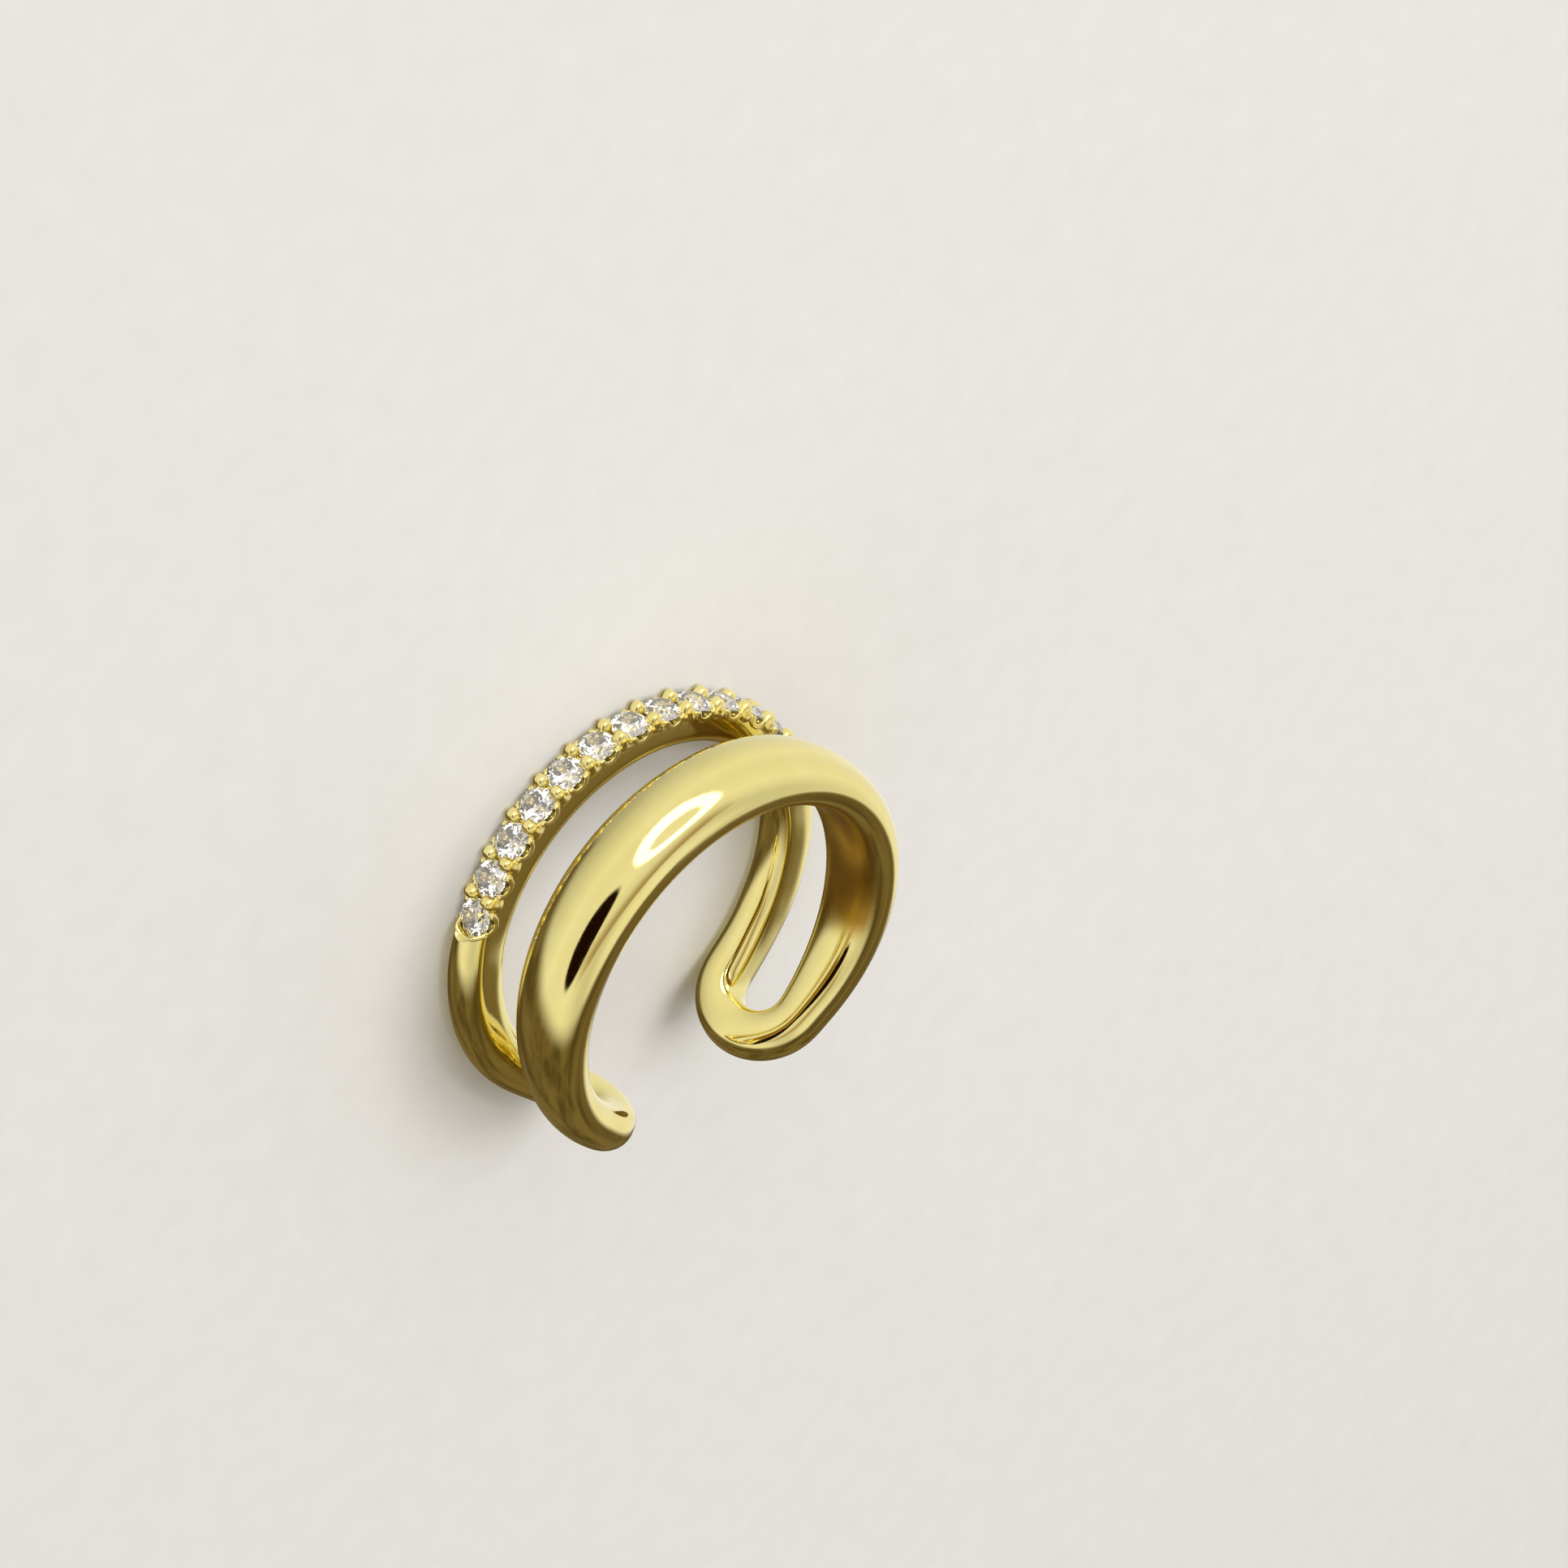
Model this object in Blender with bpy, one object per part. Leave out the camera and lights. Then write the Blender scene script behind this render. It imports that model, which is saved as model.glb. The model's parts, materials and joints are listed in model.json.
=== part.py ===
"""Ear cuff: a plain domed band and a stone-set band, joined at both ends by hairpin turns.

The model is made about the ring's axis, which is vertical: Z runs along it, +Y points at the crown of
the arch and the mouth opens towards -Y. The cuff lies on the flat side of its stone-set band.
Angles along a band are measured from the crown, positive towards +X.
"""
import math

import bmesh
import bpy
from mathutils import Matrix, Vector

MM = 0.001

# The ring: inner radius, and the mouth between the two ends half way through their thickness
INNER_RADIUS = 5.0 * MM
MOUTH_GAP = 3.93 * MM

# The hairpin turns that join the bands
SLOT_WIDTH = 1.54 * MM
TURN_HALF_WIDTH = 0.70 * MM
TURN_THICKNESS = 1.40 * MM
TURN_RADIUS = SLOT_WIDTH / 2.0 + TURN_HALF_WIDTH
TURN_MIDDLE = INNER_RADIUS + TURN_THICKNESS / 2.0
TURN_HEIGHT = TURN_HALF_WIDTH + TURN_RADIUS
TIP_ANGLE = math.pi - math.asin(MOUTH_GAP / 2.0 / TURN_MIDDLE)
RUN_HALF_ANGLE = TIP_ANGLE - (TURN_RADIUS + TURN_HALF_WIDTH) / TURN_MIDDLE

# The stones, with their facets as shares of a stone's radius
STONE_COUNT = 14
STONE_RADIUS = 0.55 * MM
STONE_GAP = 0.08 * MM
TABLE_RADIUS = 0.56 * STONE_RADIUS
CROWN_HEIGHT = 0.31 * STONE_RADIUS
GIRDLE_THICKNESS = 0.05 * STONE_RADIUS
PAVILION_DEPTH = 0.80 * STONE_RADIUS
LOWER_FACET_RADIUS = 0.30 * STONE_RADIUS
KITE_RADIUS = (TABLE_RADIUS + STONE_RADIUS) / 2.0

# The seats: a cone under each stone over a wall of metal, a relief round it and a notch through the sides
SEAT_CLEARANCE = 0.03 * MM
SEAT_WALL = 0.63 * MM
SEAT_TIP_RADIUS = 0.03 * MM
SEAT_RADIUS = STONE_RADIUS + SEAT_CLEARANCE
SEAT_DEPTH = SEAT_RADIUS * PAVILION_DEPTH / STONE_RADIUS + GIRDLE_THICKNESS
STONE_LEVEL = SEAT_WALL + SEAT_DEPTH
RELIEF_MARGIN = 0.07 * MM
RELIEF_DROP = 0.08 * MM
SCALLOP_RADIUS = 0.27 * MM
ROW_CENTRE = math.radians(2.3)
STONE_PITCH = (2.0 * STONE_RADIUS + STONE_GAP) / (INNER_RADIUS + STONE_LEVEL)

# The stone-set band, a little wider than its stones, with a step in its sides under the setting
SET_MARGIN = 0.05 * MM
SET_HALF_WIDTH = STONE_RADIUS + SET_MARGIN
SET_THICKNESS = 1.55 * MM
LEDGE_DEPTH = 0.06 * MM
LEDGE_LEVEL = 0.80 * MM

# The claws: a bead fills the corner between two stones and the side of the band
CLAW_CLEARANCE = 0.02 * MM
CLAW_INSET = 0.01 * MM
CLAW_HEIGHT = 0.21 * MM
CLAW_ROOT = 0.30 * MM
BEAD_TOP_SHARE = 0.60
BEAD_FALL_SHARE = 0.50

# The plain domed band
BAND_GAP = 1.37 * MM
PLAIN_HALF_WIDTH = 1.35 * MM
PLAIN_THICKNESS = 1.55 * MM

# Cross-sections and how they change along the bands
DOME_POWER = 2.0
INNER_POWER = 2.6
SET_SIDE_FLATNESS = 1.08
PLAIN_TAPER_POWER = 3
SET_TAPER_POWER = 8

# Fineness of the meshes
RUN_STATIONS = 47
TURN_STATIONS = 13
SECTION_POINTS = 20
GIRDLE_SIDES = 16
RELIEF_SIDES = 20
SCALLOP_SIDES = 10
CLAW_SIDES = 9
SHARP_ANGLE = math.radians(35.0)

GOLD = {"colour": (0.86, 0.66, 0.25, 1.0), "roughness": 0.12, "metallic": 1.0}
STONE = {"colour": (0.92, 0.93, 0.95, 1.0), "roughness": 0.03, "metallic": 0.0}


def clear_scene():
    for old in list(bpy.data.objects):
        bpy.data.objects.remove(old, do_unlink=True)


def make_material(name, look):
    material = bpy.data.materials.new(name)
    material.use_nodes = True
    shader = material.node_tree.nodes["Principled BSDF"]
    shader.inputs["Base Color"].default_value = look["colour"]
    shader.inputs["Roughness"].default_value = look["roughness"]
    shader.inputs["Metallic"].default_value = look["metallic"]
    return material


def make_object(name, mesh_data, material, parent=None):
    mesh = bpy.data.meshes.new(name)
    bmesh.ops.recalc_face_normals(mesh_data, faces=mesh_data.faces)
    mesh_data.to_mesh(mesh)
    mesh_data.free()
    mesh.materials.append(material)
    thing = bpy.data.objects.new(name, mesh)
    thing.parent = parent
    bpy.context.collection.objects.link(thing)
    return thing


def blend(low, high, share):
    return low + (high - low) * share


def set_station(share):
    """A station of the stone-set band, whose flat outer side stays in the plane Z = 0."""
    body = 1.0 - abs(share) ** SET_TAPER_POWER
    half_width = blend(TURN_HALF_WIDTH, SET_HALF_WIDTH, body)
    angle = RUN_HALF_ANGLE * share
    return {
        "angle": angle,
        "height": half_width,
        "half_width": half_width,
        "thickness": blend(TURN_THICKNESS, SET_THICKNESS, body),
        "ledge": LEDGE_DEPTH if is_in_row(angle) else 0.0,
        "flatness": blend(1.0, SET_SIDE_FLATNESS, body),
    }


def plain_station(share):
    """A station of the plain band, which widens and bows out towards the crown."""
    body = 1.0 - share ** 2
    end_height = TURN_HEIGHT + TURN_RADIUS
    crown_height = 2.0 * SET_HALF_WIDTH + BAND_GAP + PLAIN_HALF_WIDTH
    wide = 1.0 - abs(share) ** PLAIN_TAPER_POWER
    return {
        "angle": RUN_HALF_ANGLE * share,
        "height": blend(end_height, crown_height, body),
        "half_width": blend(TURN_HALF_WIDTH, PLAIN_HALF_WIDTH, wide),
        "thickness": blend(TURN_THICKNESS, PLAIN_THICKNESS, body),
        "ledge": 0.0,
        "flatness": 1.0,
    }


def turn_station(side, turn):
    """A station of a hairpin turn: turn runs from 0 on the stone-set side to pi on the plain side."""
    return {
        "angle": side * (RUN_HALF_ANGLE + TURN_RADIUS / TURN_MIDDLE * math.sin(turn)),
        "height": TURN_HEIGHT - TURN_RADIUS * math.cos(turn),
        "half_width": TURN_HALF_WIDTH,
        "thickness": TURN_THICKNESS,
        "ledge": 0.0,
        "flatness": 1.0,
    }


def stone_angle(index):
    return ROW_CENTRE + STONE_PITCH * (index - (STONE_COUNT - 1) / 2.0)


def is_in_row(angle):
    return stone_angle(-0.5) < angle < stone_angle(STONE_COUNT - 0.5)


def loop_stations():
    """The closed loop: along the set band, round one end, back along the plain band, round the other."""
    shares = [1.0 - 2.0 * step / (RUN_STATIONS - 1) for step in range(RUN_STATIONS)]
    turns = [math.pi * step / (TURN_STATIONS + 1) for step in range(1, TURN_STATIONS + 1)]
    stations = [set_station(share) for share in shares]
    stations += [turn_station(-1.0, turn) for turn in turns]
    stations += [plain_station(-share) for share in shares]
    stations += [turn_station(1.0, math.pi - turn) for turn in turns]
    return stations


def radial(angle):
    return Vector((math.sin(angle), math.cos(angle), 0.0))


def centre_of(station):
    middle = INNER_RADIUS + station["thickness"] / 2.0
    return radial(station["angle"]) * middle + Vector((0.0, 0.0, station["height"]))


def signed_power(value, power):
    return math.copysign(abs(value) ** power, value)


def section_points(station, along):
    """The ring of points of one cross-section: a dome outside and a flatter face inside."""
    centre = centre_of(station)
    outward = radial(station["angle"])
    across = outward.cross(along).normalized()
    points = []
    for step in range(SECTION_POINTS):
        turn = 2.0 * math.pi * step / SECTION_POINTS
        power = 2.0 / (DOME_POWER if math.sin(turn) > 0.0 else INNER_POWER)
        wide = max(-1.0, min(1.0, station["flatness"] * signed_power(math.cos(turn), power)))
        high = signed_power(math.sin(turn), power)
        radial_part = high * station["thickness"] / 2.0
        level = station["thickness"] / 2.0 + radial_part
        half_width = station["half_width"]
        if level < LEDGE_LEVEL:
            half_width -= station["ledge"]
        points.append(centre + across * wide * half_width + outward * radial_part)
    return points


def sweep_loop(stations):
    mesh_data = bmesh.new()
    centres = [centre_of(station) for station in stations]
    rings = []
    for index, station in enumerate(stations):
        along = centres[(index + 1) % len(centres)] - centres[index - 1]
        ring = [mesh_data.verts.new(point) for point in section_points(station, along)]
        rings.append(ring)
    for index, ring in enumerate(rings):
        following = rings[(index + 1) % len(rings)]
        for step in range(SECTION_POINTS):
            turned = (step + 1) % SECTION_POINTS
            mesh_data.faces.new((ring[step], ring[turned], following[turned], following[step]))
    return mesh_data


def seat_frame(angle):
    """Axes at a stone's girdle: X along the band, Y along the ring's axis and Z outwards from it."""
    outward = radial(angle)
    upright = Vector((0.0, 0.0, 1.0))
    along = upright.cross(outward)
    place = outward * (INNER_RADIUS + STONE_LEVEL) + upright * SET_HALF_WIDTH
    axes = Matrix((along, upright, outward)).transposed().to_4x4()
    return Matrix.Translation(place) @ axes


def add_frustum(mesh_data, matrix, low_radius, high_radius, low, high, sides):
    """A closed round frustum along the frame's Z axis, from low to high."""
    middle = Matrix.Translation((0.0, 0.0, (low + high) / 2.0))
    bmesh.ops.create_cone(
        mesh_data, cap_ends=True, segments=sides, radius1=low_radius, radius2=high_radius,
        depth=high - low, matrix=matrix @ middle)


def claw_size():
    """Radius and offset of a claw that touches the band's side line and clears both stones."""
    half_pitch = (INNER_RADIUS + STONE_LEVEL) * math.sin(STONE_PITCH / 2.0)
    side = SET_HALF_WIDTH - CLAW_INSET
    clear = STONE_RADIUS + CLAW_CLEARANCE
    radius = (half_pitch ** 2 + side ** 2 - clear ** 2) / (2.0 * (clear + side))
    return radius, side - radius


def claw_mesh(frame, radius):
    """A short post with a rounded bead on top."""
    claw = bmesh.new()
    shoulder = CLAW_HEIGHT - BEAD_FALL_SHARE * radius
    profile = [(radius, -CLAW_ROOT), (radius, shoulder), (BEAD_TOP_SHARE * radius, CLAW_HEIGHT)]
    rings = []
    for ring_radius, level in profile:
        turns = [2.0 * math.pi * step / CLAW_SIDES for step in range(CLAW_SIDES)]
        rings.append([claw.verts.new(frame @ point) for point in ring_points(ring_radius, level, turns)])
    for lower, upper in zip(rings, rings[1:]):
        for step in range(CLAW_SIDES):
            turned = (step + 1) % CLAW_SIDES
            claw.faces.new((lower[step], lower[turned], upper[turned], upper[step]))
    claw.faces.new(list(reversed(rings[0])))
    claw.faces.new(rings[-1])
    return claw


def claw_frames(offset):
    """A pair of claws between each two stones. The domed band's own ends hold the outer stones."""
    for gap in range(STONE_COUNT - 1):
        frame = seat_frame(stone_angle(gap + 0.5))
        for side in (-1.0, 1.0):
            yield frame @ Matrix.Translation((0.0, side * offset, 0.0))


def combine(target, tool_data, operation, material):
    """Applies a Boolean with a closed tool mesh, and leaves the tool out of the scene."""
    tool = make_object("tool", tool_data, material)
    step = target.modifiers.new("step", "BOOLEAN")
    step.operation = operation
    step.solver = "MANIFOLD"
    step.object = tool
    reader = bpy.context.evaluated_depsgraph_get()
    result = bpy.data.meshes.new_from_object(target.evaluated_get(reader))
    target.modifiers.clear()
    target.data = result
    bpy.data.objects.remove(tool, do_unlink=True)


def relief_mesh(frame):
    """Opens the domed band down to the stone's girdle, all round it."""
    cut = bmesh.new()
    width = STONE_RADIUS + RELIEF_MARGIN
    add_frustum(cut, frame, width, width, -RELIEF_DROP, SET_THICKNESS, RELIEF_SIDES)
    return cut


def seat_mesh(frame):
    """The cone under the stone, a clearance wider than its pavilion all round."""
    cut = bmesh.new()
    add_frustum(cut, frame, SEAT_TIP_RADIUS, SEAT_RADIUS, -SEAT_DEPTH, 0.0, GIRDLE_SIDES)
    return cut


def scallop_mesh(frame):
    """The round notch under the stone, through the band from side to side."""
    cut = bmesh.new()
    lying = frame @ Matrix.Rotation(math.pi / 2.0, 4, "X")
    reach = 2.0 * SET_HALF_WIDTH
    add_frustum(cut, lying, SCALLOP_RADIUS, SCALLOP_RADIUS, -reach, reach, SCALLOP_SIDES)
    return cut


def make_body(gold):
    body = make_object("cuff_body", sweep_loop(loop_stations()), gold)
    for index in range(STONE_COUNT):
        frame = seat_frame(stone_angle(index))
        for tool_mesh in (relief_mesh, scallop_mesh, seat_mesh):
            combine(body, tool_mesh(frame), "DIFFERENCE", gold)
    radius, offset = claw_size()
    for frame in claw_frames(offset):
        combine(body, claw_mesh(frame, radius), "UNION", gold)
    body.data.shade_smooth()
    body.data.set_sharp_from_angle(angle=SHARP_ANGLE)
    return body


def ring_points(radius, height, turns):
    return [Vector((radius * math.cos(turn), radius * math.sin(turn), height)) for turn in turns]


def stone_mesh():
    """A round brilliant: table, eight kites, stars and girdle facets above, and a pavilion below."""
    half_girdle = GIRDLE_THICKNESS / 2.0
    step = 2.0 * math.pi / 8.0
    mains = [step * index for index in range(8)]
    between = [step * (index + 0.5) for index in range(8)]
    girdle = [2.0 * math.pi * index / GIRDLE_SIDES for index in range(GIRDLE_SIDES)]
    kite_reach = STONE_RADIUS - KITE_RADIUS * math.cos(step / 2.0)
    kite_height = half_girdle + CROWN_HEIGHT * kite_reach / (STONE_RADIUS - TABLE_RADIUS)
    lower_reach = LOWER_FACET_RADIUS * math.cos(step / 2.0) / STONE_RADIUS
    lower_height = -half_girdle - PAVILION_DEPTH * (1.0 - lower_reach)
    points = ring_points(TABLE_RADIUS, half_girdle + CROWN_HEIGHT, mains)
    points += ring_points(KITE_RADIUS, kite_height, between)
    points += ring_points(STONE_RADIUS, half_girdle, girdle)
    points += ring_points(STONE_RADIUS, -half_girdle, girdle)
    points += ring_points(LOWER_FACET_RADIUS, lower_height, between)
    points.append(Vector((0.0, 0.0, -half_girdle - PAVILION_DEPTH)))
    mesh_data = bmesh.new()
    corners = [mesh_data.verts.new(point) for point in points]
    bmesh.ops.convex_hull(mesh_data, input=corners)
    return mesh_data


def make_stones(material, parent):
    for index in range(STONE_COUNT):
        stone = make_object(f"stone_{index + 1:02d}", stone_mesh(), material, parent)
        stone.matrix_local = seat_frame(stone_angle(index))


def middle_of(body):
    """Half way between the crown and the tips of the hairpin turns, along Y."""
    places = [corner.co.y for corner in body.data.vertices]
    return (min(places) + max(places)) / 2.0


def build():
    clear_scene()
    gold = make_material("gold", GOLD)
    clear = make_material("stone", STONE)
    body = make_body(gold)
    ring_axis = bpy.data.objects.new("ring_axis", None)
    ring_axis.location = (0.0, -middle_of(body), 0.0)
    bpy.context.collection.objects.link(ring_axis)
    body.parent = ring_axis
    make_stones(clear, ring_axis)


build()
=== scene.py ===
"""Gold ear cuff: a plain domed band and a stone-set band joined by two hairpin turns.

Everything new is modelled in millimetres and brought to the frame's metres when it is finished.
The ring's axis is vertical. +Y points at the crown of the arch, and angles along a band are
measured from the crown, positive towards +X. The cuff lies on a plain pale floor in soft light.
"""
import json
import math

import bmesh
import bpy
from mathutils import Matrix, Vector

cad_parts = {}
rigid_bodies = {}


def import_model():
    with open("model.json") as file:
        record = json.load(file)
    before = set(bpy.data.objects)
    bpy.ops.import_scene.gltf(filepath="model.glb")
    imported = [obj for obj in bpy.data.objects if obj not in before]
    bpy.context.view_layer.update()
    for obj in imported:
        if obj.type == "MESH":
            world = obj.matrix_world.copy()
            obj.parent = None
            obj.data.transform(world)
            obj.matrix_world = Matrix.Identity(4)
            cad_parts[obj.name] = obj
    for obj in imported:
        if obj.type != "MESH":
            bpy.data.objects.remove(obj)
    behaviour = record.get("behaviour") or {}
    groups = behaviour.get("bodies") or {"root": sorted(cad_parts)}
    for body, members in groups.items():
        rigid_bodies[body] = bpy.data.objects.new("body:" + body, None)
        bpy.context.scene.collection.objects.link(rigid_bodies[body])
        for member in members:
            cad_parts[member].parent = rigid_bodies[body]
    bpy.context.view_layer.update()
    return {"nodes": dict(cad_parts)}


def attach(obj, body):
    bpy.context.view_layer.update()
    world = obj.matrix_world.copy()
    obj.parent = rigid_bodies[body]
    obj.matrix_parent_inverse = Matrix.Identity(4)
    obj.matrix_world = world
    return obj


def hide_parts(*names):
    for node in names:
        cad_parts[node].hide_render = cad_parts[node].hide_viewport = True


MM = 0.001

# The camera, with its place in metres
LENS_MM = 152.795
SENSOR_MM = 36.0
CAMERA_PLACE = (-0.0977965, 0.1128623, 0.1088565)
CAMERA_TURN_DEG = (-38.7734, -42.0268, 2.9021)
CLIP_START = 0.005
CLIP_END = 10.0

# The ring, in millimetres
RING_AXIS = Vector((0.0, -0.3868, 0.0))
INNER_RADIUS = 5.0
MOUTH_GAP = 3.93

# The hairpin turns
SLOT_WIDTH = 1.54
TURN_HALF_WIDTH = 0.70
TURN_THICKNESS = 1.40
TURN_RADIUS = SLOT_WIDTH / 2.0 + TURN_HALF_WIDTH
TURN_MIDDLE = INNER_RADIUS + TURN_THICKNESS / 2.0
TURN_HEIGHT = TURN_HALF_WIDTH + TURN_RADIUS
TIP_ANGLE = math.pi - math.asin(MOUTH_GAP / 2.0 / TURN_MIDDLE)
RUN_HALF_ANGLE = TIP_ANGLE - (TURN_RADIUS + TURN_HALF_WIDTH) / TURN_MIDDLE

# The stones and their row
STONE_COUNT = 14
STONE_RADIUS = 0.55
STONE_GAP = 0.08
GIRDLE_RADIUS = 6.12
ROW_CENTRE = math.radians(2.3)
STONE_PITCH = (2.0 * STONE_RADIUS + STONE_GAP) / GIRDLE_RADIUS

# The stone-set band. Levels are distances from the ring's axis, offsets from the row's middle line
SET_HALF_WIDTH = 0.60
SET_THICKNESS = 1.55
SET_TAPER_POWER = 8
CORE_HALF_WIDTH = 0.54
CORE_FADE = math.radians(9.0)
SIDE_PLANE = 0.93
FLAT_SHARE = 0.86

# The cuts for the row, with a round flared end past the outer stones
TRENCH_FLOOR = 6.08
TRENCH_TOP = 7.0
TRENCH_WIDTH = 2.0
END_RADIUS = 0.60
END_LEVEL = 6.36
END_FLARE = 0.8
SEAT_RADIUS = 0.57
SEAT_TIP_RADIUS = 0.04
SEAT_DEPTH = 0.50
NOTCH_RADIUS = 0.20
NOTCH_RISE = 0.02
NOTCH_LENGTH = 3.0

# The setting: lips at the row's ends, rims of the notches, and the claws with their shoulders
LIP_THICKNESS = 0.14
LIP_DROP = 0.03
LIP_CORNERS = 6
EDGE_NEARNESS = 0.004
EDGE_LIFT = 0.03
EDGE_TURN = 0.4
RIM_RADIUS = 0.35
RIM_WIDTH = 0.17
RIM_TOP = 6.12
CLAW_OFFSETS = (0.27, 0.34, 0.405)
CLAW_LEVEL = 6.10
CLAW_SIZE = (0.215, 0.30, 0.19)
SHOULDER_OFFSET = 0.455
SHOULDER_LEVEL = 5.98
SHOULDER_SIZE = (0.31, 0.20, 0.14)

# The plain domed band
BAND_GAP = 1.37
PLAIN_HALF_WIDTH = 1.35
PLAIN_THICKNESS = 1.55
PLAIN_ARCH_POWER = 2
PLAIN_TAPER_POWER = 3
INNER_POWER = 2.6

# Fineness
RUN_STATIONS = 41
TURN_STATIONS = 13
SECTION_POINTS = 24
SECTION_NEARNESS = 0.01
SMOOTH_LEVELS = 2
CUTTER_SIDES = 64
CLAW_SEGMENTS = 32
CLAW_RINGS = 20
GRAIN = 0.0255
GRAIN_SMOOTHING = {"factor": 0.5, "iterations": 3}
SLIVER = 0.001
CUFF_SMOOTH_DEG = 30.0
SETTING_SMOOTH_DEG = 60.0

# Gold: colour, a deeper colour that it drifts to, roughness, and the height of its waves in metres
CUFF_GOLD = ((0.88, 0.77, 0.32, 1.0), (0.86, 0.74, 0.29, 1.0), 0.04, 0.00004)
# Painted light: the setting's gold is a lighter, warmer copy of the cuff's gold, and rougher
SETTING_GOLD = ((0.97, 0.84, 0.36, 1.0), (0.94, 0.78, 0.28, 1.0), 0.18, 0.00001)
WAVE_SCALE = 420.0
LINE_SCALE = 5200.0
TONE_SCALE = 900.0
LINE_SHARE = 0.02
BUMP_STRENGTH = 0.35

# The plain band's inner face, darkened by painted shade and rougher: from nothing to all of it, by
# distance from the ring's axis, height above the floor and reach towards the crown
INSIDE_RADII = (5.38, 5.14)
INSIDE_HEIGHTS = (2.3, 2.9)
INSIDE_REACHES = (-2.3, -1.3)
INSIDE_PAINTED_SHADE = (0.46, 0.27, 0.04, 1.0)
INSIDE_ROUGHNESS = 0.24

# Clear stone
STONE_TINTS = ((0.97, 0.92, 0.86, 1.0), (1.0, 0.99, 0.97, 1.0))
STONE_IOR = 2.2
STONE_TRANSMISSION = 0.90
TINT_SCALE = 1900.0
MARK_SCALE = 9000.0
MARK_ROUGHNESS = 0.02

# The floor
FLOOR_SIZE = 3.0
FLOOR_TINTS = ((0.70, 0.69, 0.67, 1.0), (0.76, 0.75, 0.74, 1.0))
FLOOR_ROUGHNESS = 0.9
FLOOR_SCALE = 900.0

# The studio. Places in it are an azimuth and an elevation in degrees, as seen from the cuff, and an
# oval has its half width and half height after them. Levels are an elevation and its brightness
SKY_LEVELS = (
    (-75.0, 0.48), (-55.0, 0.70), (-40.0, 0.86), (-28.0, 0.98), (-15.0, 0.92), (13.0, 0.98),
    (30.0, 0.86), (42.0, 0.74), (55.0, 0.72), (70.0, 0.92), (90.0, 0.98))
SKY_WARMTH = (1.0, 0.99, 0.96)
DIM_COLOURS = ((0.10, 0.07, 0.03, 1.0), (0.20, 0.15, 0.07, 1.0))
DIM_SCALE = 3.0
SKY_LEFT = (112.0, 18.0)
SKY_LEFT_EDGE = (-0.25, 0.05)
SKY_RIGHT = (40.0, 0.0)
SKY_RIGHT_EDGE = (0.02, 0.16)
LINE_SIDE = (-65.0, 35.0)
LINE_RISE = (-0.36, -0.02)
LINE_FALL = (0.10, 0.03)
LINE_MIDDLE = (125.0, 45.0)
LINE_REACH = (0.55, 0.85)
LINE_STRENGTH = 0.85
LINE_COLOUR = (0.40, 0.28, 0.12, 1.0)
DARK_OVAL = (160.0, 9.0, 0.45, 0.23)
DARK_EDGE = (1.10, 0.92)
DARK_COLOUR = (0.012, 0.004, 0.001, 1.0)
RING_OVAL = (94.0, 5.0, 0.43, 0.37)
RING_EDGE = (1.06, 0.96)
RING_HOLLOW = (95.0, 7.0, 0.27, 0.17)
RING_HOLLOW_EDGE = (0.92, 1.10)
RING_COLOUR = (3.2, 3.2, 3.1, 1.0)

# Lamps, in metres and watts per square metre and steradian
OVERHEAD_PLACE = (0.06, 0.10, 0.28)
OVERHEAD_SIZE = 0.22
OVERHEAD_RADIANCE = 3.8
GLOW_PLACE = (125.0, 30.0)
GLOW_DISTANCE = 0.30
GLOW_SIZE = 0.34
GLOW_RADIANCE = 1.5
SPARKLES = (
    (150.0, 20.0), (122.0, 52.0), (100.0, 5.0), (75.0, 35.0), (172.0, -10.0), (140.0, 75.0),
    (60.0, 8.0), (30.0, 30.0), (135.0, -20.0), (105.0, -30.0), (185.0, 35.0), (90.0, 65.0))
SPARKLE_DISTANCE = 0.25
SPARKLE_SIZE = 0.035
SPARKLE_RADIANCE = 11.0


class Value:
    """A socket that can be used in a sum: each operator adds its Math node."""

    def __init__(self, finish, socket):
        self.finish = finish
        self.socket = socket

    def maths(self, operation, *others):
        values = [other.socket if isinstance(other, Value) else other for other in others]
        made = self.finish.node("ShaderNodeMath", {"operation": operation}, {
            index: value for index, value in enumerate(values)})
        return Value(self.finish, made.outputs[0])

    def __add__(self, other):
        return self.maths("ADD", self, other)

    def __radd__(self, other):
        return self.maths("ADD", other, self)

    def __sub__(self, other):
        return self.maths("SUBTRACT", self, other)

    def __rsub__(self, other):
        return self.maths("SUBTRACT", other, self)

    def __mul__(self, other):
        return self.maths("MULTIPLY", self, other)

    def __rmul__(self, other):
        return self.maths("MULTIPLY", other, self)

    def __truediv__(self, other):
        return self.maths("DIVIDE", self, other)

    def __rtruediv__(self, other):
        return self.maths("DIVIDE", other, self)

    def __pow__(self, other):
        return self.maths("POWER", self, other)

    def or_more(self, other):
        return self.maths("MAXIMUM", self, other)

    def step(self, low, high):
        """0 below low, 1 above high and smooth between them. Low may be the larger of the two."""
        made = self.finish.node("ShaderNodeMapRange", {"interpolation_type": "SMOOTHSTEP"}, {
            "Value": self, "From Min": low, "From Max": high})
        return Value(self.finish, made.outputs["Result"])


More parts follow.
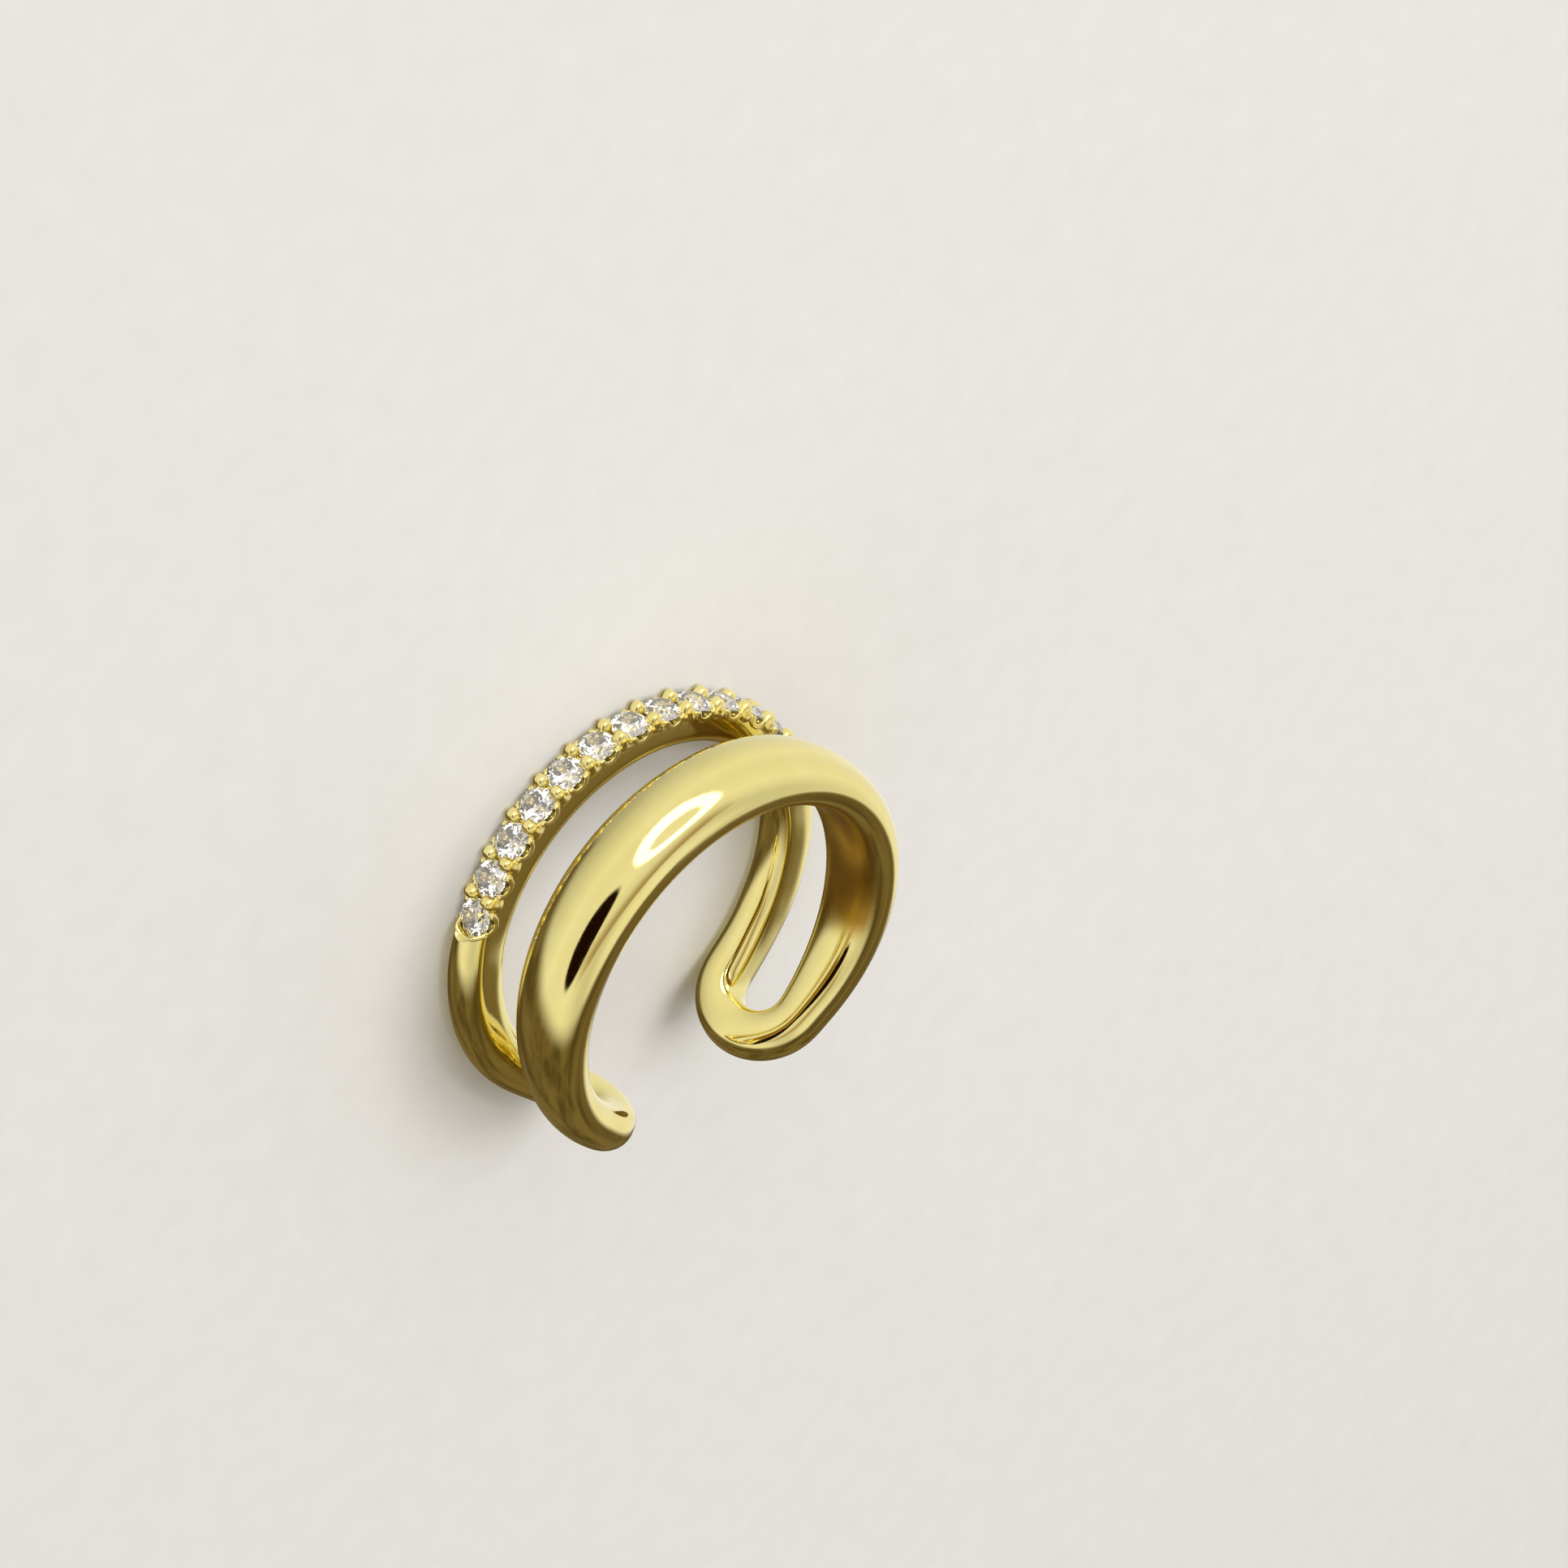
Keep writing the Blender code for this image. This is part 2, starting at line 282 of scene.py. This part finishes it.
class Finish:
    """The nodes of one material, or of the studio around the object."""

    def __init__(self, tree):
        self.tree = tree
        tree.nodes.clear()

    def node(self, kind, settings=None, inputs=None):
        made = self.tree.nodes.new(kind)
        for name, value in (settings or {}).items():
            if name == "stops":
                self.set_stops(made.color_ramp, value)
            else:
                setattr(made, name, value)
        for name, value in (inputs or {}).items():
            self.feed(self.find(made.inputs, name), value)
        return made

    @staticmethod
    def find(sockets, name):
        if isinstance(name, int):
            return sockets[name]
        for socket in sockets:
            if name in (socket.identifier, socket.name):
                return socket
        raise KeyError(name)

    @staticmethod
    def set_stops(ramp, stops):
        while len(ramp.elements) < len(stops):
            ramp.elements.new(1.0)
        for element, (place, colour) in zip(ramp.elements, stops):
            element.position = place
            element.color = colour

    def feed(self, socket, value):
        if isinstance(value, Value):
            value = value.socket
        if isinstance(value, bpy.types.NodeSocket):
            self.tree.links.new(value, socket)
        else:
            socket.default_value = value

    def places(self):
        """Object coordinates, in metres."""
        return self.node("ShaderNodeTexCoord").outputs["Object"]

    def noise(self, places, scale, detail=3.0):
        made = self.node("ShaderNodeTexNoise", None, {
            "Vector": places, "Scale": scale, "Detail": detail})
        return Value(self, self.find(made.outputs, "Fac"))

    def mix(self, factor, first, second):
        made = self.node("ShaderNodeMix", {"data_type": "RGBA"}, {
            "Factor_Float": factor, "A_Color": first, "B_Color": second})
        return self.find(made.outputs, "Result_Color")

    def along(self, vector, direction):
        """How far a vector points in a fixed direction."""
        made = self.node("ShaderNodeVectorMath", {"operation": "DOT_PRODUCT"}, {
            0: vector, 1: direction})
        return Value(self, self.find(made.outputs, "Value"))

    def show(self, output_kind, surface):
        self.feed(self.node(output_kind).inputs["Surface"], surface)


def new_material(name):
    material = bpy.data.materials.new(name)
    material.use_nodes = True
    return material, Finish(material.node_tree)


def polished_gold(name, colour, deep_colour, roughness, wave_height):
    """Mirror-polished cast gold: faint waves from hand polishing, fine lines, and a little tone.

    The plain band's inner face gets painted shade, a deeper amber for the shaded floor it reflects,
    and is rougher.
    """
    material, finish = new_material(name)
    places = finish.places()
    waves = finish.noise(places, WAVE_SCALE, 2.0)
    lines = finish.noise(places, LINE_SCALE, 4.0)
    tone = finish.noise(places, TONE_SCALE, 3.0)
    bump = finish.node("ShaderNodeBump", None, {
        "Strength": BUMP_STRENGTH, "Distance": wave_height, "Height": waves + lines * LINE_SHARE})
    across, towards_crown, height = (finish.along(places, axis) for axis in (
        (1.0 / MM, 0.0, 0.0), (0.0, 1.0 / MM, 0.0), (0.0, 0.0, 1.0 / MM)))
    out = towards_crown - RING_AXIS.y
    from_axis = (across * across + out * out) ** 0.5
    # Painted shade: the plain band's inner face is darkened to amber by this mask, which also makes
    # it rougher
    inside = from_axis.step(*INSIDE_RADII) * height.step(*INSIDE_HEIGHTS)
    inside = inside * towards_crown.step(*INSIDE_REACHES) * (0.75 + 0.5 * waves)
    outside_colour = finish.mix(tone.step(0.35, 0.7), deep_colour, colour)
    scratched = 0.05 * lines.step(0.4, 0.75)
    shader = finish.node("ShaderNodeBsdfPrincipled", None, {
        "Base Color": finish.mix(inside, outside_colour, INSIDE_PAINTED_SHADE),
        "Metallic": 1.0,
        "Roughness": roughness + scratched + 0.03 * tone + INSIDE_ROUGHNESS * inside,
        "Normal": bump.outputs["Normal"],
    })
    finish.show("ShaderNodeOutputMaterial", shader.outputs["BSDF"])
    return material


def cut_stone(name):
    """Clear cut stone with a faint warm tint that comes and goes, and a few fine marks."""
    material, finish = new_material(name)
    places = finish.places()
    tint = finish.noise(places, TINT_SCALE, 1.0)
    marks = finish.noise(places, MARK_SCALE, 3.0)
    shader = finish.node("ShaderNodeBsdfPrincipled", None, {
        "Base Color": finish.mix(tint.step(0.4, 0.6), *STONE_TINTS),
        "Roughness": MARK_ROUGHNESS * marks.step(0.5, 0.8),
        "IOR": STONE_IOR,
        "Transmission Weight": STONE_TRANSMISSION,
    })
    finish.show("ShaderNodeOutputMaterial", shader.outputs["BSDF"])
    return material


def take(*pieces):
    """Selects only these pieces, the first one active."""
    bpy.ops.object.select_all(action="DESELECT")
    for piece in pieces:
        piece.select_set(True)
    bpy.context.view_layer.objects.active = pieces[0]
    return pieces[0]


def pick(kind, test):
    """In edit mode, selects the vertices, edges or faces that pass a test."""
    bpy.ops.mesh.select_mode(type=kind)
    bpy.ops.mesh.select_all(action="DESELECT")
    mesh = bpy.context.object.data
    shape = bmesh.from_edit_mesh(mesh)
    parts = {"VERT": shape.verts, "EDGE": shape.edges, "FACE": shape.faces}[kind]
    for part in parts:
        if test(part):
            part.select_set(True)
    shape.select_flush_mode()
    bmesh.update_edit_mesh(mesh)


def edit(piece):
    take(piece)
    bpy.ops.object.mode_set(mode="EDIT")


def leave_edit():
    bpy.ops.object.mode_set(mode="OBJECT")


def copy_at(piece, matrix):
    twin = piece.copy()
    twin.data = piece.data.copy()
    bpy.context.collection.objects.link(twin)
    twin.matrix_world = matrix @ piece.matrix_world
    return twin


def delete(piece):
    bpy.data.objects.remove(piece, do_unlink=True)


def apply_modifier(piece, kind, **settings):
    take(piece)
    step = piece.modifiers.new("step", kind)
    for name, value in settings.items():
        setattr(step, name, value)
    bpy.ops.object.modifier_apply(modifier=step.name)


def settle(piece):
    """Puts a piece's turn, size and place into its mesh."""
    take(piece)
    bpy.ops.object.transform_apply(location=True, rotation=True, scale=True)


def to_metres(piece):
    settle(piece)
    piece.scale = (MM, MM, MM)
    settle(piece)


def cut(target, tool):
    settle(tool)
    apply_modifier(target, "BOOLEAN", operation="DIFFERENCE", solver="MANIFOLD", object=tool)
    delete(tool)


def join(pieces):
    joined = take(*pieces)
    bpy.ops.object.join()
    settle(joined)
    return joined


def outward(angle):
    return Vector((math.sin(angle), math.cos(angle), 0.0))


def round_the_ring(angle):
    """Carries a piece made at the crown to its angle along the band."""
    turn = Matrix.Rotation(-angle, 4, "Z")
    return Matrix.Translation(RING_AXIS) @ turn @ Matrix.Translation(-RING_AXIS)


def at_crown(along, radius, height):
    """A point at the crown: along the band, from the ring's axis, and above the floor."""
    return RING_AXIS + Vector((along, radius, height))


def stone_angle(index):
    return ROW_CENTRE + STONE_PITCH * (index - (STONE_COUNT - 1) / 2.0)


def between(low, high, share):
    return low + (high - low) * share


def smooth(share):
    share = max(0.0, min(1.0, share))
    return share * share * (3.0 - 2.0 * share)


def set_station(share):
    """The stone-set band: narrower under the stones, where the walls of the setting stand on it."""
    body = 1.0 - abs(share) ** SET_TAPER_POWER
    angle = RUN_HALF_ANGLE * share
    full = between(TURN_HALF_WIDTH, SET_HALF_WIDTH, body)
    outside = max(stone_angle(-0.5) - angle, angle - stone_angle(STONE_COUNT - 0.5))
    return {
        "angle": angle,
        "height": full,
        "half_width": between(CORE_HALF_WIDTH, full, smooth(outside / CORE_FADE)),
        "thickness": between(TURN_THICKNESS, SET_THICKNESS, body),
        "flat_sided": abs(share) < FLAT_SHARE,
    }


def plain_station(share):
    """The plain band: widest at the crown, where it stands furthest from the stone-set band."""
    body = 1.0 - abs(share) ** PLAIN_ARCH_POWER
    wide = 1.0 - abs(share) ** PLAIN_TAPER_POWER
    crown_height = 2.0 * SET_HALF_WIDTH + BAND_GAP + PLAIN_HALF_WIDTH
    return {
        "angle": RUN_HALF_ANGLE * share,
        "height": between(TURN_HEIGHT + TURN_RADIUS, crown_height, body),
        "half_width": between(TURN_HALF_WIDTH, PLAIN_HALF_WIDTH, wide),
        "thickness": between(TURN_THICKNESS, PLAIN_THICKNESS, body),
    }


def turn_station(side, turn):
    return {
        "angle": side * (RUN_HALF_ANGLE + TURN_RADIUS / TURN_MIDDLE * math.sin(turn)),
        "height": TURN_HEIGHT - TURN_RADIUS * math.cos(turn),
        "half_width": TURN_HALF_WIDTH,
        "thickness": TURN_THICKNESS,
    }


def loop_stations():
    shares = [1.0 - 2.0 * step / (RUN_STATIONS - 1) for step in range(RUN_STATIONS)]
    turns = [math.pi * step / (TURN_STATIONS + 1) for step in range(1, TURN_STATIONS + 1)]
    stations = [set_station(share) for share in shares]
    stations += [turn_station(-1.0, turn) for turn in turns]
    stations += [plain_station(-share) for share in shares]
    stations += [turn_station(1.0, math.pi - turn) for turn in turns]
    return stations


def centre_of(station):
    middle = INNER_RADIUS + station["thickness"] / 2.0
    return RING_AXIS + outward(station["angle"]) * middle + Vector((0.0, 0.0, station["height"]))


def model_section():
    """The outline of the band: a dome outside and a flatter face inside."""
    bpy.ops.mesh.primitive_circle_add(vertices=SECTION_POINTS, radius=1.0, location=(0.0, 0.0, 0.0))
    section = bpy.context.object
    edit(section)
    middle = (0.0, 0.0, 0.0)
    power = 2.0 / INNER_POWER
    for step in range(1, SECTION_POINTS // 4):
        turn = 2.0 * math.pi * step / SECTION_POINTS
        pick("VERT", lambda corner: corner.co.y < 0.0
             and abs(-corner.co.y - math.sin(turn)) < SECTION_NEARNESS
             and abs(abs(corner.co.x) - math.cos(turn)) < SECTION_NEARNESS)
        wide = math.cos(turn) ** (power - 1.0)
        high = math.sin(turn) ** (power - 1.0)
        bpy.ops.transform.resize(value=(wide, high, 1.0), center_override=middle)
    # The smoothing draws the outline in by this share, so it starts that much larger
    bpy.ops.mesh.select_all(action="SELECT")
    shrink = (2.0 + math.cos(2.0 * math.pi / SECTION_POINTS)) / 3.0
    bpy.ops.transform.resize(value=(1.0 / shrink, 1.0 / shrink, 1.0), center_override=middle)
    leave_edit()
    return section


def flatten_sides(section):
    """Presses the two sides of an outline flat, at its full width."""
    edit(section)
    for side in (-1.0, 1.0):
        pick("VERT", lambda corner: side * corner.co.x > SIDE_PLANE)
        bpy.ops.transform.resize(
            value=(0.0, 1.0, 1.0), center_override=(side * SIDE_PLANE, 0.0, 0.0))
    bpy.ops.mesh.select_all(action="SELECT")
    bpy.ops.transform.resize(value=(1.0 / SIDE_PLANE, 1.0, 1.0), center_override=(0.0, 0.0, 0.0))
    leave_edit()


def section_place(station, along):
    out = outward(station["angle"])
    across = out.cross(along).normalized()
    forward = across.cross(out)
    turn = Matrix((
        across * station["half_width"], out * (station["thickness"] / 2.0), forward,
    )).transposed().to_4x4()
    return Matrix.Translation(centre_of(station)) @ turn


def model_loop():
    """The whole cuff as one closed loop of outlines, bridged and smoothed."""
    section = model_section()
    flat_section = copy_at(section, Matrix.Identity(4))
    flatten_sides(flat_section)
    stations = loop_stations()
    centres = [centre_of(station) for station in stations]
    rings = []
    for index, station in enumerate(stations):
        along = centres[(index + 1) % len(centres)] - centres[index - 1]
        outline = flat_section if station.get("flat_sided") else section
        rings.append(copy_at(outline, section_place(station, along)))
    delete(section)
    delete(flat_section)
    loop = join(rings)
    loop.name = "cuff_loop"
    edit(loop)
    bpy.ops.mesh.select_mode(type="EDGE")
    bpy.ops.mesh.select_all(action="SELECT")
    bpy.ops.mesh.bridge_edge_loops(type="CLOSED")
    bpy.ops.mesh.select_all(action="SELECT")
    bpy.ops.mesh.normals_make_consistent(inside=False)
    leave_edit()
    apply_modifier(loop, "SUBSURF", levels=SMOOTH_LEVELS, render_levels=SMOOTH_LEVELS)
    return loop


def cut_trench(loop):
    """Opens the stone-set band's dome for the row, with a round flared end at each outer stone."""
    bpy.ops.mesh.primitive_cube_add(size=1.0, location=at_crown(
        0.0, (TRENCH_FLOOR + TRENCH_TOP) / 2.0, SET_HALF_WIDTH))
    block = bpy.context.object
    block.scale = (
        2.0 * TRENCH_TOP * math.sin(STONE_PITCH / 2.0), TRENCH_TOP - TRENCH_FLOOR, TRENCH_WIDTH)
    settle(block)
    for gap in range(STONE_COUNT - 1):
        cut(loop, copy_at(block, round_the_ring(stone_angle(gap + 0.5))))
    mill = model_round_cutter(END_RADIUS, END_RADIUS, TRENCH_FLOOR, TRENCH_TOP)
    flare = END_RADIUS + END_FLARE * (TRENCH_TOP - END_LEVEL)
    chamfer = model_round_cutter(END_RADIUS, flare, END_LEVEL, TRENCH_TOP)
    for index in (0, STONE_COUNT - 1):
        for tool in (mill, chamfer):
            cut(loop, copy_at(tool, round_the_ring(stone_angle(index))))
    for tool in (block, mill, chamfer):
        delete(tool)


def cut_seats(loop):
    """A cone under each stone and a round notch beneath it, through the band from side to side."""
    seat = model_round_cutter(
        SEAT_TIP_RADIUS, SEAT_RADIUS, GIRDLE_RADIUS - SEAT_DEPTH, GIRDLE_RADIUS)
    notch = model_notch_cutter()
    for index in range(STONE_COUNT):
        for tool in (seat, notch):
            cut(loop, copy_at(tool, round_the_ring(stone_angle(index))))
    delete(seat)
    delete(notch)


def model_notch_cutter():
    return model_rod(NOTCH_RADIUS, GIRDLE_RADIUS + NOTCH_RISE, NOTCH_LENGTH, SET_HALF_WIDTH)


def clear_slivers(piece):
    """Merges the double corners and folded slivers that the cuts leave."""
    edit(piece)
    bpy.ops.mesh.select_mode(type="VERT")
    bpy.ops.mesh.select_all(action="SELECT")
    bpy.ops.mesh.remove_doubles(threshold=SLIVER)
    bpy.ops.mesh.dissolve_degenerate(threshold=SLIVER)
    bpy.ops.mesh.select_all(action="SELECT")
    bpy.ops.mesh.quads_convert_to_tris(quad_method="BEAUTY", ngon_method="BEAUTY")
    leave_edit()


def clear_crumbs(piece):
    """Keeps the casting with the outermost corner and deletes the crumbs that the fusing leaves."""
    outermost = max(piece.data.vertices, key=lambda corner: corner.co.length).index
    edit(piece)
    pick("VERT", lambda corner: corner.index == outermost)
    bpy.ops.mesh.select_linked()
    bpy.ops.mesh.select_all(action="INVERT")
    bpy.ops.mesh.delete(type="VERT")
    leave_edit()


def model_round_cutter(low_radius, high_radius, low, high):
    """A round cutter standing on the band at the crown, between two levels."""
    bpy.ops.mesh.primitive_cone_add(
        vertices=CUTTER_SIDES, radius1=low_radius, radius2=high_radius, depth=high - low,
        location=at_crown(0.0, (low + high) / 2.0, SET_HALF_WIDTH),
        rotation=(-math.pi / 2.0, 0.0, 0.0))
    cutter = bpy.context.object
    settle(cutter)
    return cutter


def model_rod(radius, level, length, height):
    """A rod across the band at the crown."""
    bpy.ops.mesh.primitive_cylinder_add(
        vertices=CUTTER_SIDES, radius=radius, depth=length, location=at_crown(0.0, level, height))
    rod = bpy.context.object
    settle(rod)
    return rod


def model_rims():
    """A pair of raised crescents round a stone's notch, one on each side, level with the girdle."""
    rims = []
    for side in (-1.0, 1.0):
        height = SET_HALF_WIDTH + side * (SET_HALF_WIDTH - RIM_WIDTH / 2.0)
        rim = model_rod(RIM_RADIUS, GIRDLE_RADIUS, RIM_WIDTH, height)
        cut(rim, model_notch_cutter())
        edit(rim)
        bpy.ops.mesh.select_all(action="SELECT")
        bpy.ops.mesh.bisect(
            plane_co=at_crown(0.0, RIM_TOP, 0.0), plane_no=(0.0, 1.0, 0.0),
            use_fill=True, clear_outer=True)
        leave_edit()
        rims.append(rim)
    return join(rims)


def model_claws():
    """The pair of claws between two stones, each a long bead over a wide shoulder of the wall."""
    beads = [(CLAW_SIZE, CLAW_LEVEL, offset) for offset in CLAW_OFFSETS]
    beads.append((SHOULDER_SIZE, SHOULDER_LEVEL, SHOULDER_OFFSET))
    claws = []
    for side in (-1.0, 1.0):
        for size, level, offset in beads:
            bpy.ops.mesh.primitive_uv_sphere_add(
                segments=CLAW_SEGMENTS, ring_count=CLAW_RINGS, radius=1.0,
                location=at_crown(0.0, level, SET_HALF_WIDTH + side * offset))
            claw = bpy.context.object
            claw.scale = size
            claws.append(claw)
    return join(claws)


def model_lip(loop, index, side):
    """A round lip along the edge that an end stone's cut leaves in the dome."""
    out = outward(stone_angle(index))
    ahead = round_the_ring(stone_angle(index)).to_3x3() @ Vector((side, 0.0, 0.0))

    def on_edge(corner):
        arm = corner.co - at_crown(0.0, 0.0, SET_HALF_WIDTH)
        level = arm.dot(out)
        reach = arm - out * level
        return (abs(reach.length - END_RADIUS) < EDGE_NEARNESS and reach.dot(ahead) > 0.0
                and level > TRENCH_FLOOR + EDGE_LIFT)

    edit(loop)
    pick("EDGE", lambda edge: edge.calc_face_angle(0.0) > EDGE_TURN
         and all(map(on_edge, edge.verts)))
    bpy.ops.mesh.duplicate()
    bpy.ops.mesh.separate(type="SELECTED")
    leave_edit()
    lip = take(next(piece for piece in bpy.context.selected_objects if piece != loop))
    bpy.ops.object.convert(target="CURVE")
    lip = bpy.context.object
    lip.data.bevel_depth = LIP_THICKNESS / 2.0
    lip.data.bevel_resolution = LIP_CORNERS
    lip.data.use_fill_caps = True
    bpy.ops.object.convert(target="MESH")
    lip = bpy.context.object
    lip.location = out * -LIP_DROP
    settle(lip)
    return lip


def model_setting(loop):
    """The claws, the rims of the notches and the two lips, fused and smoothed as one casting."""
    rims = model_rims()
    claws = model_claws()
    parts = [model_lip(loop, 0, -1.0), model_lip(loop, STONE_COUNT - 1, 1.0)]
    parts += [
        copy_at(rims, round_the_ring(stone_angle(index))) for index in range(STONE_COUNT)]
    parts += [
        copy_at(claws, round_the_ring(stone_angle(gap + 0.5))) for gap in range(STONE_COUNT - 1)]
    delete(rims)
    delete(claws)
    setting = join(parts)
    setting.name = "stone_setting"
    apply_modifier(setting, "REMESH", mode="VOXEL", voxel_size=GRAIN)
    clear_crumbs(setting)
    apply_modifier(setting, "SMOOTH", **GRAIN_SMOOTHING)
    return setting


def shade(piece, degrees):
    take(piece)
    bpy.ops.object.shade_smooth_by_angle(angle=math.radians(degrees))


def dress(piece, material):
    piece.data.materials.clear()
    piece.data.materials.append(material)


def make_floor():
    """A plain pale floor, which the gold doesn't reflect."""
    bpy.ops.mesh.primitive_plane_add(size=FLOOR_SIZE, location=(0.0, 0.0, 0.0))
    floor = bpy.context.object
    floor.name = "floor"
    material, finish = new_material("pale_floor")
    grain = finish.noise(finish.places(), FLOOR_SCALE, 4.0)
    shader = finish.node("ShaderNodeBsdfPrincipled", None, {
        "Base Color": finish.mix(grain, *FLOOR_TINTS),
        "Roughness": FLOOR_ROUGHNESS,
    })
    finish.show("ShaderNodeOutputMaterial", shader.outputs["BSDF"])
    dress(floor, material)
    floor.visible_glossy = False


def direction(azimuth, elevation):
    azimuth, elevation = math.radians(azimuth), math.radians(elevation)
    return Vector((
        math.cos(azimuth) * math.cos(elevation), math.sin(azimuth) * math.cos(elevation),
        math.sin(elevation)))


def oval_reach(finish, looking, azimuth, elevation, wide, tall):
    """How far a direction is from the middle of an oval of the studio, in shares of the oval."""
    middle = direction(azimuth, elevation)
    side = middle.cross(Vector((0.0, 0.0, 1.0))).normalized()
    above = side.cross(middle)
    across = finish.along(looking, side) / wide
    up = finish.along(looking, above) / tall
    behind = 10.0 * (1.0 - finish.along(looking, middle).step(-0.1, 0.1))
    return (across * across + up * up) ** 0.5 + behind


def make_studio():
    """Soft light from the crown's side and a dim side behind the mouth, with the forms that show in
    the gold: a faint line, a dark oval and a ring lamp."""
    world = bpy.data.worlds.new("studio")
    bpy.context.scene.world = world
    world.use_nodes = True
    finish = Finish(world.node_tree)
    looking = finish.node("ShaderNodeTexCoord").outputs["Generated"]
    drift = finish.noise(looking, DIM_SCALE, 3.0).step(0.35, 0.65)
    rise = finish.along(looking, direction(0.0, 90.0))
    soft_light = finish.node("ShaderNodeValToRGB", {"stops": [
        ((math.sin(math.radians(elevation)) + 1.0) / 2.0,
         tuple(share * level for share in SKY_WARMTH) + (1.0,))
        for elevation, level in SKY_LEVELS]}, {"Fac": rise * 0.5 + 0.5}).outputs["Color"]
    left_edge = finish.along(looking, direction(*SKY_LEFT)).step(*SKY_LEFT_EDGE)
    right_edge = finish.along(looking, direction(*SKY_RIGHT)).step(*SKY_RIGHT_EDGE)
    colour = finish.mix(
        left_edge.or_more(right_edge), finish.mix(drift, *DIM_COLOURS), soft_light)
    beside = finish.along(looking, direction(*LINE_SIDE))
    line = beside.step(*LINE_RISE) * beside.step(*LINE_FALL)
    line = line * finish.along(looking, direction(*LINE_MIDDLE)).step(*LINE_REACH)
    colour = finish.mix(line * LINE_STRENGTH, colour, LINE_COLOUR)
    dark = oval_reach(finish, looking, *DARK_OVAL).step(*DARK_EDGE)
    colour = finish.mix(dark, colour, DARK_COLOUR)
    ring = oval_reach(finish, looking, *RING_OVAL).step(*RING_EDGE)
    ring = ring * oval_reach(finish, looking, *RING_HOLLOW).step(*RING_HOLLOW_EDGE)
    colour = finish.mix(ring, colour, RING_COLOUR)
    background = finish.node("ShaderNodeBackground", None, {"Color": colour, "Strength": 1.0})
    finish.show("ShaderNodeOutputWorld", background.outputs["Background"])


def make_lamps():
    """One lamp over the floor, and a glow and small lamps that only show through the stones."""
    add_lamp("soft_overhead", Vector(OVERHEAD_PLACE), OVERHEAD_SIZE, OVERHEAD_RADIANCE)
    glow = add_lamp("stone_glow", GLOW_DISTANCE * direction(*GLOW_PLACE), GLOW_SIZE, GLOW_RADIANCE)
    glow.visible_diffuse = False
    for number, place in enumerate(SPARKLES):
        sparkle = add_lamp("sparkle_%d" % number, SPARKLE_DISTANCE * direction(*place),
                           SPARKLE_SIZE, SPARKLE_RADIANCE)
        sparkle.visible_diffuse = False


def add_lamp(name, place, size, radiance):
    """A round lamp that faces the object and doesn't show in the gold."""
    bpy.ops.object.light_add(type="AREA", location=place)
    lamp = bpy.context.object
    lamp.name = name
    lamp.data.shape = "DISK"
    lamp.data.size = size
    lamp.data.energy = radiance * math.pi * math.pi * size * size / 4.0
    lamp.rotation_euler = place.to_track_quat("Z", "Y").to_euler()
    lamp.visible_glossy = False
    return lamp


def make_camera():
    bpy.ops.object.camera_add(
        location=CAMERA_PLACE, rotation=[math.radians(turn) for turn in CAMERA_TURN_DEG])
    camera = bpy.context.object
    camera.data.lens = LENS_MM
    camera.data.sensor_width = SENSOR_MM
    camera.data.clip_start = CLIP_START
    camera.data.clip_end = CLIP_END
    bpy.context.scene.camera = camera


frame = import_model()
bpy.ops.object.select_all(action="DESELECT")

make_camera()
make_floor()
make_studio()
make_lamps()

gold = polished_gold("polished_gold", *CUFF_GOLD)
# The setting's gold, painted lighter and warmer than the cuff's
painted_lighter_gold = polished_gold("setting_gold", *SETTING_GOLD)
stone = cut_stone("clear_stone")

cuff = model_loop()
cut_trench(cuff)
cut_seats(cuff)
setting = model_setting(cuff)
clear_slivers(cuff)
to_metres(cuff)
shade(cuff, CUFF_SMOOTH_DEG)
dress(cuff, gold)
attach(cuff, "root")
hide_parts("cuff_body")

to_metres(setting)
shade(setting, SETTING_SMOOTH_DEG)
dress(setting, painted_lighter_gold)
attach(setting, "root")
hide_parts("cuff_body")

for name, node in frame["nodes"].items():
    if name.startswith("stone_"):
        dress(node, stone)

# The default view transform would grey the gold
bpy.context.scene.view_settings.view_transform = "Standard"
